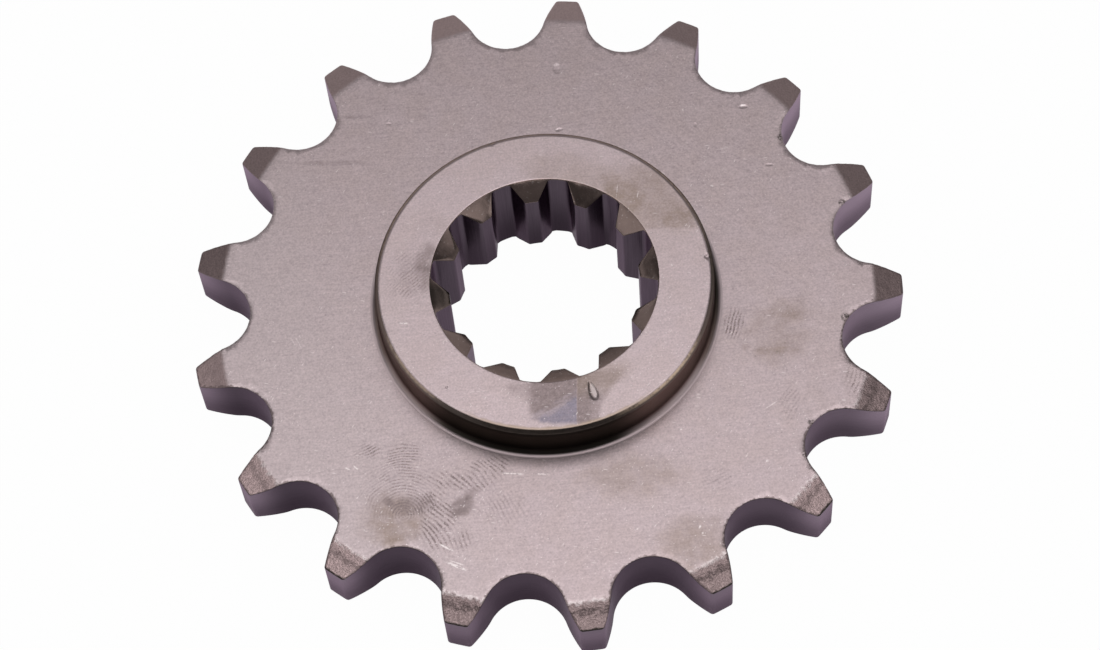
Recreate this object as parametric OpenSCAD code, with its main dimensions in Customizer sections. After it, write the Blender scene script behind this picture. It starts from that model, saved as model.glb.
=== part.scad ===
// Front drive sprocket for a motorcycle's roller chain, turned and cut from one piece of steel:
// a toothed disc, a plain hub on its outer face, and a splined bore through both.
// The origin lies on the axis at the rear face, and +Z runs out through the hub.
// A tooth points along +X, with a groove of the spline right behind it.

/* [Chain] */
// Pitch of the chain, from roller to roller, mm
pitch = 15.875; // [15:0.005:17]
// Diameter of the chain's rollers, mm
roller_d = 10.16; // [9.5:0.01:10.6]
// Play between a roller and its seat, on the radius, mm
seat_play = 0.05; // [0:0.01:0.15]

/* [Teeth] */
// Number of teeth
teeth = 17; // [13:1:24]
// Arc of a seat, over which it follows the roller, degrees
seat_angle = 132.4; // [120:0.1:140]
// Radius of the bulging flank between a seat and a tip, mm
flank_r = 22; // [15:0.5:40]
// Height of the tips above the pitch circle, mm
tip_h = 2.42; // [1.5:0.01:3]
// Radius of the round on the two corners of a tip, mm
tip_round = 0.5; // [0.2:0.05:0.8]
// Depth of the bevel at a tip, on each face, mm
bevel_h = 0.9; // [0.2:0.05:2]
// Width of the bevelled band, from the tips inwards, mm
bevel_w = 3.7; // [2:0.1:6]

/* [Disc] */
// Thickness of the disc, mm
disc_h = 8.4; // [6:0.1:12]

/* [Hub] */
// Diameter of the hub, mm
hub_d = 43.1; // [36:0.1:46]
// Height of the hub above the disc, mm
hub_h = 5.4; // [2:0.1:12]
// Chamfer round the hub's end face, mm
hub_chamfer = 0.5; // [0.1:0.1:1.5]
// Radius of the fillet at the hub's foot, mm
hub_fillet = 0.9; // [0.2:0.1:1.5]

/* [Spline] */
// Number of grooves round the bore
grooves = 12; // [6:1:14]
// Diameter between the ridges, the smallest of the bore, mm
minor_d = 24.25; // [22:0.05:26]
// Diameter across the floors of the grooves, mm
major_d = 28.95; // [27:0.05:31]
// Width of a groove at its mouth, on the smallest diameter, mm
mouth_w = 4.67; // [3.5:0.01:5.2]
// Width of a groove at its floor, mm
floor_w = 2.5; // [1.5:0.05:3.4]
// Diameter of the lead-in cone on the hub's end face, mm
lead_d = 29.1; // [28:0.1:33]
// Depth at which the lead-in cone runs out on the ridges, mm
lead_h = 1.6; // [0.5:0.1:3]
// Diameter of the chamfer on the rear face, mm
rear_d = 28.1; // [26.5:0.1:32]
// Depth at which the rear chamfer runs out on the ridges, mm
rear_h = 1.1; // [0.3:0.1:3]

/* [Hidden] */

// Sides that stand in for a full circle
$fn = 144;
// Cuts run this far past the faces they leave by
past = 1;
// Arcs that touch are drawn this far into each other, so that they cross cleanly
lap = 0.0005;

// Circles of the teeth
tooth_step = 360 / teeth;
pitch_r = pitch / (2 * sin(tooth_step / 2));
seat_r = roller_d / 2 + seat_play;
tip_r = pitch_r + tip_h;
bevel_r = tip_r - bevel_w;
cut_r = tip_r + past;
bevel_rise = bevel_h * (cut_r - bevel_r) / bevel_w;

// One gap between teeth, seen with its middle on +X: upper half only, the lower one is its mirror image
seat_c = [pitch_r, 0];
seat_end_dir = [-cos(seat_angle / 2), sin(seat_angle / 2)];
flank_c = seat_c + (seat_r + flank_r - lap) * seat_end_dir;
gap_shoulder = seat_c + (seat_r + past) * seat_end_dir;
gap_reach = cut_r * tan(tooth_step);

// Centre of the round that touches both the flank and the tip circle from within
round_orbit = tip_r - tip_round;
flank_orbit = flank_r - tip_round;
flank_c_r = norm(flank_c);
round_along = (flank_c_r ^ 2 + round_orbit ^ 2 - flank_orbit ^ 2) / (2 * flank_c_r);
round_across = sqrt(round_orbit ^ 2 - round_along ^ 2);
flank_c_dir = flank_c / flank_c_r;
round_c = round_along * flank_c_dir + round_across * [flank_c_dir[1], -flank_c_dir[0]];
to_flank = (round_c - flank_c) / norm(round_c - flank_c);
to_tip = round_c / norm(round_c);
round_reach = 2 * tip_round;

// Hub
hub_r = hub_d / 2;
hub_foot_r = hub_r + hub_fillet;
hub_top = disc_h + hub_h;
hub_base = disc_h / 2;

// Spline
groove_step = 360 / grooves;
minor_r = minor_d / 2;
major_r = major_d / 2;
mouth_x = sqrt(minor_r ^ 2 - (mouth_w / 2) ^ 2);
floor_x = sqrt(major_r ^ 2 - (floor_w / 2) ^ 2);
flare = (mouth_w - floor_w) / (floor_x - mouth_x);

// Width of a groove's straight sides at a distance from the axis
function groove_w(x) = floor_w + (floor_x - x) * flare;

// Corner of a tip, to be cut away around its round
module tip_corner() {
    difference() {
        polygon([
            round_c,
            round_c + round_reach * to_flank,
            round_c + round_reach * (to_flank + to_tip),
            round_c + round_reach * to_tip,
        ]);
        translate(round_c) circle(tip_round + lap);
    }
}

// Space between two teeth: the roller's seat, the flanks, and the rounded corners
module tooth_gap() {
    translate(seat_c) circle(seat_r);
    difference() {
        polygon([
            seat_c,
            [gap_shoulder[0], -gap_shoulder[1]],
            [cut_r, -gap_reach],
            [cut_r, gap_reach],
            gap_shoulder,
        ]);
        translate(flank_c) circle(flank_r);
        mirror([0, 1]) translate(flank_c) circle(flank_r);
    }
    tip_corner();
    mirror([0, 1]) tip_corner();
}

// Outline of the toothed disc
module rim() {
    difference() {
        circle(tip_r);
        for (i = [0 : teeth - 1])
            rotate((i + 1 / 2) * tooth_step) tooth_gap();
    }
}

// Disc with its teeth, bevelled towards the tips on both faces
module toothed_disc() {
    intersection() {
        linear_extrude(disc_h) rim();
        rotate_extrude()
            polygon([
                [0, 0],
                [bevel_r, 0],
                [cut_r, bevel_rise],
                [cut_r, disc_h - bevel_rise],
                [bevel_r, disc_h],
                [0, disc_h],
            ]);
    }
}

// Hub with its chamfer and the fillet at its foot, let into the disc
module hub() {
    rotate_extrude()
        difference() {
            polygon([
                [0, hub_base],
                [hub_foot_r, hub_base],
                [hub_foot_r, disc_h + hub_fillet],
                [hub_r, disc_h + hub_fillet],
                [hub_r, hub_top - hub_chamfer],
                [hub_r - hub_chamfer, hub_top],
                [0, hub_top],
            ]);
            translate([hub_foot_r, disc_h + hub_fillet]) circle(hub_fillet);
        }
}

// One groove of the spline, wider at its mouth, from within the bore to past its floor
module groove() {
    inner_x = mouth_x - past;
    outer_x = major_r + past;
    polygon([
        [inner_x, -groove_w(inner_x) / 2],
        [outer_x, -groove_w(outer_x) / 2],
        [outer_x, groove_w(outer_x) / 2],
        [inner_x, groove_w(inner_x) / 2],
    ]);
}

// Outline of the splined bore
module spline() {
    circle(minor_r);
    intersection() {
        circle(major_r);
        for (i = [0 : grooves - 1])
            rotate(i * groove_step) groove();
    }
}

// Cone that opens a bore's end: mouth_r wide on the face at z = 0, minor_r wide at depth, below
module mouth_cone(mouth_r, depth) {
    slope = depth / (mouth_r - minor_r);
    rotate_extrude()
        polygon([
            [0, past],
            [mouth_r + past / slope, past],
            [0, -mouth_r * slope],
        ]);
}

// Everything that is cut out through the middle
module bore() {
    translate([0, 0, -past]) linear_extrude(hub_top + 2 * past) spline();
    translate([0, 0, hub_top]) mouth_cone(lead_d / 2, lead_h);
    mirror([0, 0, 1]) mouth_cone(rear_d / 2, rear_h);
}

// The sprocket
module sprocket() {
    color([0.66, 0.61, 0.61])
        difference() {
            union() {
                toothed_disc();
                hub();
            }
            bore();
        }
}

sprocket();
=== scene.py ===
"""Front sprocket: toothed disc, hub and splined bore as one used steel piece, on a pale floor."""

import math
from collections import namedtuple
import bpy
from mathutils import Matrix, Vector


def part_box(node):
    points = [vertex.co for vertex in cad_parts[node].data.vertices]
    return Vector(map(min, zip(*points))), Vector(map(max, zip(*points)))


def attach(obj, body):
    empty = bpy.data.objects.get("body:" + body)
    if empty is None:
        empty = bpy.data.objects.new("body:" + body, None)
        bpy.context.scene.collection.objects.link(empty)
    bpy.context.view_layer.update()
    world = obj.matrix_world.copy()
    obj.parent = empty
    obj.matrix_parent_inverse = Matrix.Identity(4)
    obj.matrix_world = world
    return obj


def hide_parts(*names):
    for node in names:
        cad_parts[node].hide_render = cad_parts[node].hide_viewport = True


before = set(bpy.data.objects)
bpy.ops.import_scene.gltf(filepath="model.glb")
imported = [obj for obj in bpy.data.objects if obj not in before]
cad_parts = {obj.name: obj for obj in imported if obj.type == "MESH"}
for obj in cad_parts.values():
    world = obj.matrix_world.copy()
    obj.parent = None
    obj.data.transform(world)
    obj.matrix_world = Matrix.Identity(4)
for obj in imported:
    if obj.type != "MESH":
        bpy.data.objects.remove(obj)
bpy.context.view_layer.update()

from types import SimpleNamespace

import bpy
import numpy as np
from mathutils import Matrix, Vector, noise
from mathutils.geometry import delaunay_2d_cdt
from mathutils.kdtree import KDTree

bl_info = {
    "name": "Front sprocket",
    "version": (1, 0, 0),
    "blender": (4, 5, 0),
    "location": "View3D > Sidebar > Sprocket",
    "description": "Builds a used steel front sprocket with a splined hub, and a plain stage for it",
    "category": "Object",
}

MM = 0.001
NODE_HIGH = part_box("sprocket")[1]
SENSOR = 36.0


def length(name, description, millimetres):
    return bpy.props.FloatProperty(
        name=name, description=description, default=millimetres * MM, min=0.0,
        precision=5, subtype="DISTANCE", unit="LENGTH")


def angle(name, description, degrees):
    return bpy.props.FloatProperty(
        name=name, description=description, default=math.radians(degrees),
        subtype="ANGLE", unit="ROTATION")


def share(name, description, value):
    return bpy.props.FloatProperty(
        name=name, description=description, default=value, min=0.0, max=1.0, subtype="FACTOR")


def colour(name, description, red, green, blue):
    return bpy.props.FloatVectorProperty(
        name=name, description=description, default=(red, green, blue), size=3,
        min=0.0, max=1.0, subtype="COLOR")


def power(name, description, watts):
    return bpy.props.FloatProperty(
        name=name, description=description, default=watts, min=0.0, subtype="POWER", unit="POWER")


class SprocketSizes(bpy.types.PropertyGroup):
    """Sizes of the sprocket, as the solid has them"""

    teeth: bpy.props.IntProperty(name="Teeth", description="Teeth on the rim", default=17, min=9)
    pitch: length("Chain pitch", "Distance between the chain's rollers", 15.875)
    roller_d: length("Roller", "Diameter of the chain's rollers", 10.16)
    seat_play: length("Seat play", "What the roller seat's radius has over the roller's", 0.05)
    seat_angle: angle("Seat angle", "Part of the gap that is the roller seat", 132.4)
    flank_r: length("Flank radius", "Radius of the bulging tooth flanks", 22.0)
    tip_r: length("Tip radius", "Distance of the tooth tips from the axis", NODE_HIGH.x / MM)
    tip_round: length("Tip corners", "Rounding of the corners of the tips", 0.5)
    bevel_h: length("Bevel depth", "Depth of the bevel at the tip", 0.9)
    bevel_w: length("Bevel width", "Radial width of the bevel", 3.7)
    disc_h: length("Disc", "Thickness of the toothed disc", 8.4)
    hub_d: length("Hub", "Diameter of the hub", 43.1)
    hub_top: length("Hub face", "Height of the hub's face above the rear face", NODE_HIGH.z / MM)
    hub_chamfer: length("Hub chamfer", "Chamfer round the hub's face", 0.5)
    hub_fillet: length("Hub fillet", "Fillet at the hub's foot", 0.9)
    grooves: bpy.props.IntProperty(name="Grooves", description="Grooves of the spline", default=12, min=4)
    minor_d: length("Across ridges", "Diameter between the spline's ridges", 24.25)
    major_d: length("Across grooves", "Diameter across the floors of the grooves", 28.95)
    mouth_w: length("Groove mouth", "Width of a groove between two ridges", 4.67)
    floor_w: length("Groove floor", "Width of a groove at its floor", 2.5)
    lead_d: length("Lead-in", "Diameter of the lead-in cone at the hub's face", 29.1)
    lead_h: length("Lead-in depth", "Depth of the lead-in cone on the ridges", 1.6)
    rear_d: length("Rear chamfer", "Diameter of the bore's rear chamfer", 28.1)
    rear_h: length("Rear chamfer depth", "Depth of the bore's rear chamfer on the ridges", 1.1)
    edge_break: length("Edge break", "Broken edge between the faces and the rim", 0.11)
    burr: length("Burr", "Height of the ragged burr on the rim's edges", 0.07)


class SprocketFinish(bpy.types.PropertyGroup):
    """Colours of the steel, as cut, ground and handled"""

    ground: colour("Ground face", "Satin ground steel", 0.500, 0.406, 0.420)
    bevel: colour("Tip bevel", "Rough steel of the tip bevels", 0.300, 0.225, 0.224)
    # Cut rim colours as painted light and shade: the root colour is painted shade in the tooth gaps, and the
    # clean-side colour is painted light towards the rim's far right side.
    cut_root: colour("Cut rim, roots", "Dark cut steel in the tooth gaps", 0.050, 0.040, 0.050)
    cut_tip: colour("Cut rim, tips", "Paler cut steel on the tooth tips", 0.145, 0.114, 0.141)
    cut_clean: colour("Cut rim, clean side", "Paler cut steel where the rim is clean", 0.260, 0.207, 0.252)
    turned: colour("Hub side", "Dark turned steel of the hub's side and foot", 0.042, 0.036, 0.031)
    broached: colour("Spline", "Broached steel of the grooves", 0.088, 0.072, 0.087)
    cone: colour("Lead-in cone", "Turned steel of the lead-in and the rear chamfer", 0.210, 0.154, 0.140)
    edge: colour("Grazing tint", "Tint of the dark steel seen at a flat angle", 0.85, 0.71, 0.83)
    flat_brown: colour("Grazing brown", "Tint of the hub's side seen at a flat angle", 0.55, 0.52, 0.50)
    # The bare-edge colour is bare steel where the hub's face edge is rubbed, and also the painted reflection
    # of the side panels on the hub's chamfer.
    bare_edge_and_reflection: colour("Bare edge", "Warm bare steel along the hub's worn edges", 0.480, 0.365, 0.280)
    oil: colour("Oil stain", "Brown oil film on the faces", 0.320, 0.247, 0.222)
    grease: colour("Finger grease", "Grease in the lines of the fingerprints", 0.235, 0.184, 0.184)
    heat: colour("Heat tint", "Blue tint beside the stain on the hub", 0.235, 0.207, 0.255)
    scratch: colour("Bare scratch", "Bright bare steel in the scratches", 0.780, 0.700, 0.700)
    satin: share("Satin", "Roughness of the ground faces", 0.37)


class StageSettings(bpy.types.PropertyGroup):
    """Camera and studio light"""

    lens: bpy.props.FloatProperty(
        name="Lens", description="Focal length on a 36 mm wide sensor", default=105.154,
        subtype="DISTANCE_CAMERA")
    distance: length("Distance", "Distance of the camera from the rear face's centre", 418.745)
    turn: angle("Turn", "Turn of the camera about the axis, from the front", -17.7787)
    height: angle("Height", "Camera's angle above the floor", 62.889)
    roll: angle("Roll", "Roll of the camera", 5.862)
    aside: length("Aside", "Camera's move to its right", 0.14663)
    above: length("Above", "Camera's move along its own upright", 0.41296)
    floor: colour("Floor", "Colour of the floor", 0.92, 0.92, 0.92)
    room: colour("Room", "Grey of the dim room above", 0.13, 0.13, 0.13)
    panels: colour("Panels", "Pale panels at the sides and behind", 0.95, 0.95, 0.95)
    softbox: power("Softbox", "Power of the wide lamp above", 3.5)


def in_millimetres(settings):
    """The settings of a group as plain values, lengths in millimetres."""
    plain = SimpleNamespace()
    for prop in settings.bl_rna.properties:
        if prop.identifier in ("rna_type", "name"):
            continue
        value = getattr(settings, prop.identifier)
        if prop.subtype == "DISTANCE":
            value = value / MM
        setattr(plain, prop.identifier, value)
    return plain


# Outlines of the rim and the bore, in millimetres

def arc(centre, radius, start, end, step, side=1):
    """Points round a centre from start towards end, the last left out, and unit normals to that side."""
    count = max(2, math.ceil(abs(end - start) * radius / step))
    turns = np.linspace(start, end, count, endpoint=False)
    spokes = np.c_[np.cos(turns), np.sin(turns)]
    return np.asarray(centre) + radius * spokes, side * spokes


def polar(point):
    return math.atan2(point[1], point[0])


def half_gap(s, step):
    """Half a tooth gap on the +X side, from the bottom of the roller seat to the middle of the tip."""
    seat_r = s.roller_d / 2 + s.seat_play
    seat = np.array([s.pitch / (2 * math.sin(math.pi / s.teeth)), 0.0])
    half = s.seat_angle / 2
    lean = np.array([-math.cos(half), math.sin(half)])
    flank = seat + (seat_r + s.flank_r) * lean
    reach = s.tip_r - s.tip_round
    bulge = s.flank_r - s.tip_round
    span = np.hypot(*flank)
    along = (reach ** 2 - bulge ** 2 + span ** 2) / (2 * span)
    aside = math.sqrt(reach ** 2 - along ** 2)
    ray = flank / span
    corner = ray * along + aside * np.array([ray[1], -ray[0]])
    parts = (
        arc(seat, seat_r, math.pi, math.pi - half, step, side=-1),
        arc(flank, s.flank_r, polar(-lean), polar(corner - flank), step),
        arc(corner, s.tip_round, polar(corner - flank), polar(corner), step / 2.5),
        arc((0, 0), s.tip_r, polar(corner), math.pi / s.teeth, step),
    )
    return np.vstack([p for p, _ in parts]), np.vstack([n for _, n in parts])


def around(points, normals, closing, copies, start):
    """A whole loop from half a period: mirrored at its start, closed at its end, repeated round the axis."""
    flip = np.array([1.0, -1.0])
    points = np.vstack([closing * flip, (points[1:] * flip)[::-1], points])
    ray = closing / np.hypot(*closing)
    outward = math.copysign(1.0, normals[-1] @ ray)
    normals = np.vstack([ray * flip * outward, (normals[1:] * flip)[::-1], normals])
    whole_points = []
    whole_normals = []
    for k in range(copies):
        turn = start + k * 2 * math.pi / copies
        spin = np.array([[math.cos(turn), math.sin(turn)], [-math.sin(turn), math.cos(turn)]])
        whole_points.append(points @ spin)
        whole_normals.append(normals @ spin)
    return np.vstack(whole_points), np.vstack(whole_normals)


def rim_loop(s, step=0.25):
    """The toothed outline and its outward normals, with a tooth on +X."""
    points, normals = half_gap(s, step)
    end = math.pi / s.teeth
    closing = s.tip_r * np.array([math.cos(end), math.sin(end)])
    return around(points, normals, closing, s.teeth, end)


def spline_loop(s, step=0.3, ease=0.12):
    """The bore's outline and its normals into the steel, with a groove on +X and eased corners."""
    minor_r = s.minor_d / 2
    major_r = s.major_d / 2
    mouth = np.array([math.sqrt(minor_r ** 2 - s.mouth_w ** 2 / 4), s.mouth_w / 2])
    floor = np.array([math.sqrt(major_r ** 2 - s.floor_w ** 2 / 4), s.floor_w / 2])
    side = (mouth - floor) / np.hypot(*(mouth - floor))
    into = np.array([-side[1], side[0]])
    if into[1] < 0:
        into = -into
    run = np.hypot(*(mouth - floor)) - 2 * ease
    steps = np.linspace(0, 1, max(3, math.ceil(run / step)))[:, None]
    side_points = floor + side * (ease + run * steps)
    side_normals = np.repeat(into[None], len(side_points), axis=0)
    land_start = polar(mouth) + ease / minor_r
    floor_points, floor_normals = arc((0, 0), major_r, 0, polar(floor) - ease / major_r, step)
    land_points, land_normals = arc((0, 0), minor_r, land_start, math.pi / s.grooves, step)
    end = math.pi / s.grooves
    closing = minor_r * np.array([math.cos(end), math.sin(end)])
    return around(
        np.vstack([floor_points, side_points, land_points]),
        np.vstack([floor_normals, side_normals, land_normals]),
        closing, s.grooves, 0.0)


def radius_at(loop, points):
    """Radius of a loop round the axis in the directions of some points."""
    turns = np.arctan2(loop[:, 1], loop[:, 0])
    order = np.argsort(turns)
    radii = np.hypot(loop[:, 0], loop[:, 1])
    wanted = np.arctan2(points[:, 1], points[:, 0])
    return np.interp(wanted, turns[order], radii[order], period=2 * math.pi)


def distance_to(loop, points):
    """Distance of points from the nearest point of a loop."""
    tree = KDTree(len(loop))
    for k, (x, y) in enumerate(loop):
        tree.insert((x, y, 0.0), k)
    tree.balance()
    return np.array([tree.find((x, y, 0.0))[2] for x, y in points])


def honeycomb(reach, step):
    """Evenly staggered points over a square of that reach, a little shaken."""
    rng = np.random.default_rng(17)
    rows = np.arange(-reach, reach, step * math.sqrt(3) / 2)
    columns = np.arange(-reach, reach, step)
    x, y = np.meshgrid(columns, rows)
    x = x + (np.arange(len(rows)) % 2)[:, None] * step / 2
    grid = np.c_[x.ravel(), y.ravel()]
    return grid + rng.uniform(-0.18, 0.18, grid.shape) * step


def grain(points, size, seed):
    """Soft noise between -1 and 1 at points in the plane, with features of that size."""
    return np.array([noise.noise(Vector((x / size, y / size, seed))) for x, y in points])


# Dents and nicks, placed in millimetres on the face that carries them

Dent = namedtuple("Dent", "x y length width turn depth taper wall", defaults=(0.0, 1.0))

HUB_DENTS = (
    Dent(-0.60, -16.90, 1.50, 0.55, 85, 0.13, 0.45, 0.6),
    Dent(20.15, -5.62, 0.50, 0.42, -24, 0.20),
    Dent(1.55, 20.95, 0.42, 0.35, -10, 0.18),
    Dent(-17.05, -9.00, 0.20, 0.16, 0, 0.05),
)

DISC_DENTS = (
    Dent(14.75, 31.10, 0.95, 0.62, -105, 0.034),
    Dent(34.75, 15.50, 0.62, 0.36, -20, 0.040),
    Dent(11.30, 22.35, 0.60, 0.30, -12, 0.032),
    Dent(27.90, 15.60, 0.45, 0.28, -100, 0.020),
    Dent(-8.80, 32.50, 0.45, 0.26, -24, 0.018),
    Dent(34.20, 6.10, 0.60, 0.26, -24, 0.020),
)

# Way from the axis to the near side, where the teeth's bevels are worn most; painted light and shade on the
# rim, hub, bore and cone are laid out along it too
NEAR_WORN_SIDE = np.array([-0.305, -0.952])

Burr = namedtuple("Burr", "x y size height")

RIM_BURRS = (
    Burr(33.60, -18.10, 0.55, 0.16),
    Burr(23.40, -29.70, 0.45, 0.14),
    Burr(20.90, -33.40, 0.45, 0.10),
    Burr(40.40, -2.95, 0.50, 0.12),
    Burr(37.30, 9.20, 0.50, 0.12),
)


def sunk(points, dents):
    """How far dents press a face down at some points."""
    depth = np.zeros(len(points))
    for dent in dents:
        turn = math.radians(dent.turn)
        dx = points[:, 0] - dent.x
        dy = points[:, 1] - dent.y
        along = (dx * math.cos(turn) + dy * math.sin(turn)) / dent.length
        width = dent.width * (1 - dent.taper * np.clip(along, -1, 1))
        across = (dy * math.cos(turn) - dx * math.sin(turn)) / width
        bowl = np.clip(1 - along ** 2 - across ** 2, 0, 1)
        floor = np.clip(bowl / dent.wall, 0, 1)
        depth = np.maximum(depth, dent.depth * floor * floor * (3 - 2 * floor))
    return depth


def dent_spots(dents):
    """Extra points that give dents their shape."""
    spots = []
    for dent in dents:
        reach = 1.25 * max(dent.length, dent.width)
        step = min(0.12, dent.width / 5)
        grid = honeycomb(reach, step)
        turn = math.radians(dent.turn)
        along = (grid[:, 0] * math.cos(turn) + grid[:, 1] * math.sin(turn)) / dent.length
        across = (grid[:, 1] * math.cos(turn) - grid[:, 0] * math.sin(turn)) / dent.width
        spots.append(grid[along ** 2 + across ** 2 < 1.5] + (dent.x, dent.y))
    return np.vstack(spots)


def thinned(spots, extra, gap):
    """Spots with an extra set put in, and the old ones near it taken out."""
    return np.vstack([spots[distance_to(extra, spots) > gap], extra])


def bevel_drop(s, points):
    """Drop of a tip bevel below the face, with a soft start."""
    soft = 0.42
    past = np.hypot(points[:, 0], points[:, 1]) - (s.tip_r - s.bevel_w)
    rounded = (past + soft) ** 2 / (4 * soft)
    ramp = np.where(past < -soft, 0.0, np.where(past > soft, past, rounded))
    return ramp * s.bevel_h / s.bevel_w


def disc_height(s, points):
    """Height of the disc's front face: dented, and bevelled, rough and stepped at the tips."""
    radius = np.hypot(points[:, 0], points[:, 1])
    past = radius - (s.tip_r - s.bevel_w)
    worn = np.clip((points @ NEAR_WORN_SIDE) / radius / 0.7 + 0.15, 0, 1)
    rough = np.clip(past / 0.5, 0, 1) * np.clip((s.bevel_w - past) / 0.5, 0, 1)
    ripple = grain(points, 0.75, 3.1) * 0.030 + grain(points, 0.34, 8.7) * 0.022
    step = np.clip((past - 0.95 - 0.70 * grain(points, 1.7, 6.2)) / 0.8, 0, 1)
    hollow = step * step * (3 - 2 * step) * np.clip((s.bevel_w - past) / 1.6, 0, 1)
    texture = (0.45 + 1.00 * worn) * (ripple + 0.03) + 0.085 * worn * hollow
    return s.disc_h - bevel_drop(s, points) - rough * texture - sunk(points, DISC_DENTS)


def hub_height(s, points):
    """Height of the hub's face, with its dents."""
    return s.hub_top - sunk(points, HUB_DENTS)


class Skin:
    """A closed skin gathered ring by ring, in millimetres, with a finish for every face."""

    def __init__(self):
        self.points = []
        self.faces = []
        self.finishes = []

    def ring(self, flat, height):
        """Adds points at their heights and gives their numbers."""
        start = len(self.points)
        heights = np.broadcast_to(height, len(flat))
        self.points.extend(zip(flat[:, 0].tolist(), flat[:, 1].tolist(), heights.tolist()))
        return list(range(start, len(self.points)))

    def bands(self, rings, finish):
        """Quads between neighbouring rings of equal counts, up the bore, over the face and down the side."""
        for first, second in zip(rings, rings[1:]):
            for k, a in enumerate(first):
                after = (k + 1) % len(first)
                self.faces.append((a, second[k], second[after], first[after]))
                self.finishes.append(finish)

    def flat(self, numbers):
        return np.array([self.points[k][:2] for k in numbers])

    def patch(self, inner, outer, spots, height, finish, facing=1):
        """Triangles between an inner and an outer ring, with loose spots between them."""
        numbers = inner + outer + self.ring(spots, height)
        corners = self.flat(numbers)
        edges = []
        start = 0
        for loop in (inner, outer):
            edges += [(start + k, start + (k + 1) % len(loop)) for k in range(len(loop))]
            start += len(loop)
        made = delaunay_2d_cdt([Vector(c) for c in corners], edges, [], 1, 1e-7)
        if len(made[0]) != len(corners):
            raise RuntimeError("points of a face meet or its rings cross")
        origin = [numbers[sources[0]] for sources in made[3]]
        triangles = np.array(made[2])
        places = np.array([tuple(v) for v in made[0]])
        middle = places[triangles].mean(axis=1)
        radius = np.hypot(middle[:, 0], middle[:, 1])
        kept = (radius < radius_at(self.flat(outer), middle)) & (radius > radius_at(self.flat(inner), middle))
        for triangle in triangles[kept]:
            a, b, c = places[triangle]
            turning = (b[0] - a[0]) * (c[1] - a[1]) - (b[1] - a[1]) * (c[0] - a[0])
            order = triangle if turning * facing > 0 else triangle[::-1]
            self.faces.append(tuple(origin[k] for k in order))
            self.finishes.append(finish)


FACE, RIM, HUB_SIDE, SPLINE, CONE = range(5)

# Flat strip beside an edge, which keeps the face's shading level up to it, and broken edges, in mm
FLAT_STRIP = 0.15
BORE_EASE = 0.04
HUB_EASE = 0.07

# Heights at which rings divide a wall, as shares of it
THIRDS = (0.0, 0.33, 0.67, 1.0)


def bore_rings(skin, s):
    """The bore from the rear face to the hub's face. Gives its first and last ring."""
    ease = BORE_EASE
    loop, into = spline_loop(s)
    radius = np.hypot(loop[:, 0], loop[:, 1])
    spoke = loop / radius[:, None]
    lead_r = s.lead_d / 2
    rear_r = s.rear_d / 2
    lead_slope = s.lead_h / (lead_r - s.minor_d / 2)
    rear_slope = s.rear_h / (rear_r - s.minor_d / 2)

    def lead_z(r):
        return s.hub_top - np.clip(lead_r - r, 0, None) * lead_slope

    def rear_z(r):
        return np.clip(rear_r - r, 0, None) * rear_slope

    inside = loop + into * ease
    inside_r = np.hypot(inside[:, 0], inside[:, 1])
    rear_edge = np.maximum(rear_r, inside_r + ease)
    rear = skin.ring(spoke * (rear_edge + ease)[:, None], 0.0)
    rear_start = spoke * rear_edge[:, None]
    chamfer = [rear]
    for part in (0.0, 0.5, 1.0):
        flat = rear_start + (inside - rear_start) * part
        chamfer.append(skin.ring(flat, rear_z(np.hypot(flat[:, 0], flat[:, 1])) + ease * 0.3))
    low = rear_z(radius) + 2 * ease
    high = lead_z(radius) - ease
    walls = [skin.ring(loop, low + (high - low) * part) for part in THIRDS]
    lead_edge = np.maximum(lead_r - ease / 2, inside_r + 0.01)
    lead_end = spoke * lead_edge[:, None]
    cone = []
    for part in THIRDS:
        flat = inside + (lead_end - inside) * part
        cone.append(skin.ring(flat, lead_z(np.hypot(flat[:, 0], flat[:, 1]))))
    top = skin.ring(spoke * (lead_edge + ease)[:, None], s.hub_top)
    strip = skin.ring(spoke * (lead_edge + ease + FLAT_STRIP)[:, None], s.hub_top)
    skin.bands(chamfer + walls[:1], CONE)
    skin.bands(walls, SPLINE)
    skin.bands([walls[-1]] + cone + [top], CONE)
    skin.bands([top, strip], FACE)
    return rear, strip


def hub_rings(skin, s, columns=600):
    """The hub's side from its face to its foot on the disc. Gives its first and last ring."""
    hub_r = s.hub_d / 2
    face_r = hub_r - s.hub_chamfer
    low = s.hub_top - s.hub_chamfer
    ease = HUB_EASE
    foot = s.disc_h + s.hub_fillet
    sweep = np.linspace(0, math.pi / 2, 11)
    profile = [(face_r - ease - FLAT_STRIP, s.hub_top), (face_r - ease, s.hub_top)]
    profile.append((face_r + ease * 0.7, s.hub_top - ease * 0.7))
    profile += [(hub_r - ease * 0.7, low + ease * 0.7), (hub_r, low - ease)]
    profile += [(hub_r, z) for z in np.linspace(low - ease, foot, 6)[1:-1]]
    for t in sweep:
        profile.append((hub_r + s.hub_fillet * (1 - math.cos(t)), foot - s.hub_fillet * math.sin(t)))
    profile.append((hub_r + s.hub_fillet + 0.12, s.disc_h))
    turns = np.linspace(0, 2 * math.pi, columns, endpoint=False)
    spoke = np.c_[np.cos(turns), np.sin(turns)]
    rings = []
    for r, z in profile:
        flat = spoke * r
        drop = sunk(flat, HUB_DENTS) if z > low else 0.0
        rings.append(skin.ring(flat, z - drop))
    skin.bands(rings[:3], FACE)
    skin.bands(rings[2:], HUB_SIDE)
    return rings[0], rings[-1]


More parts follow.
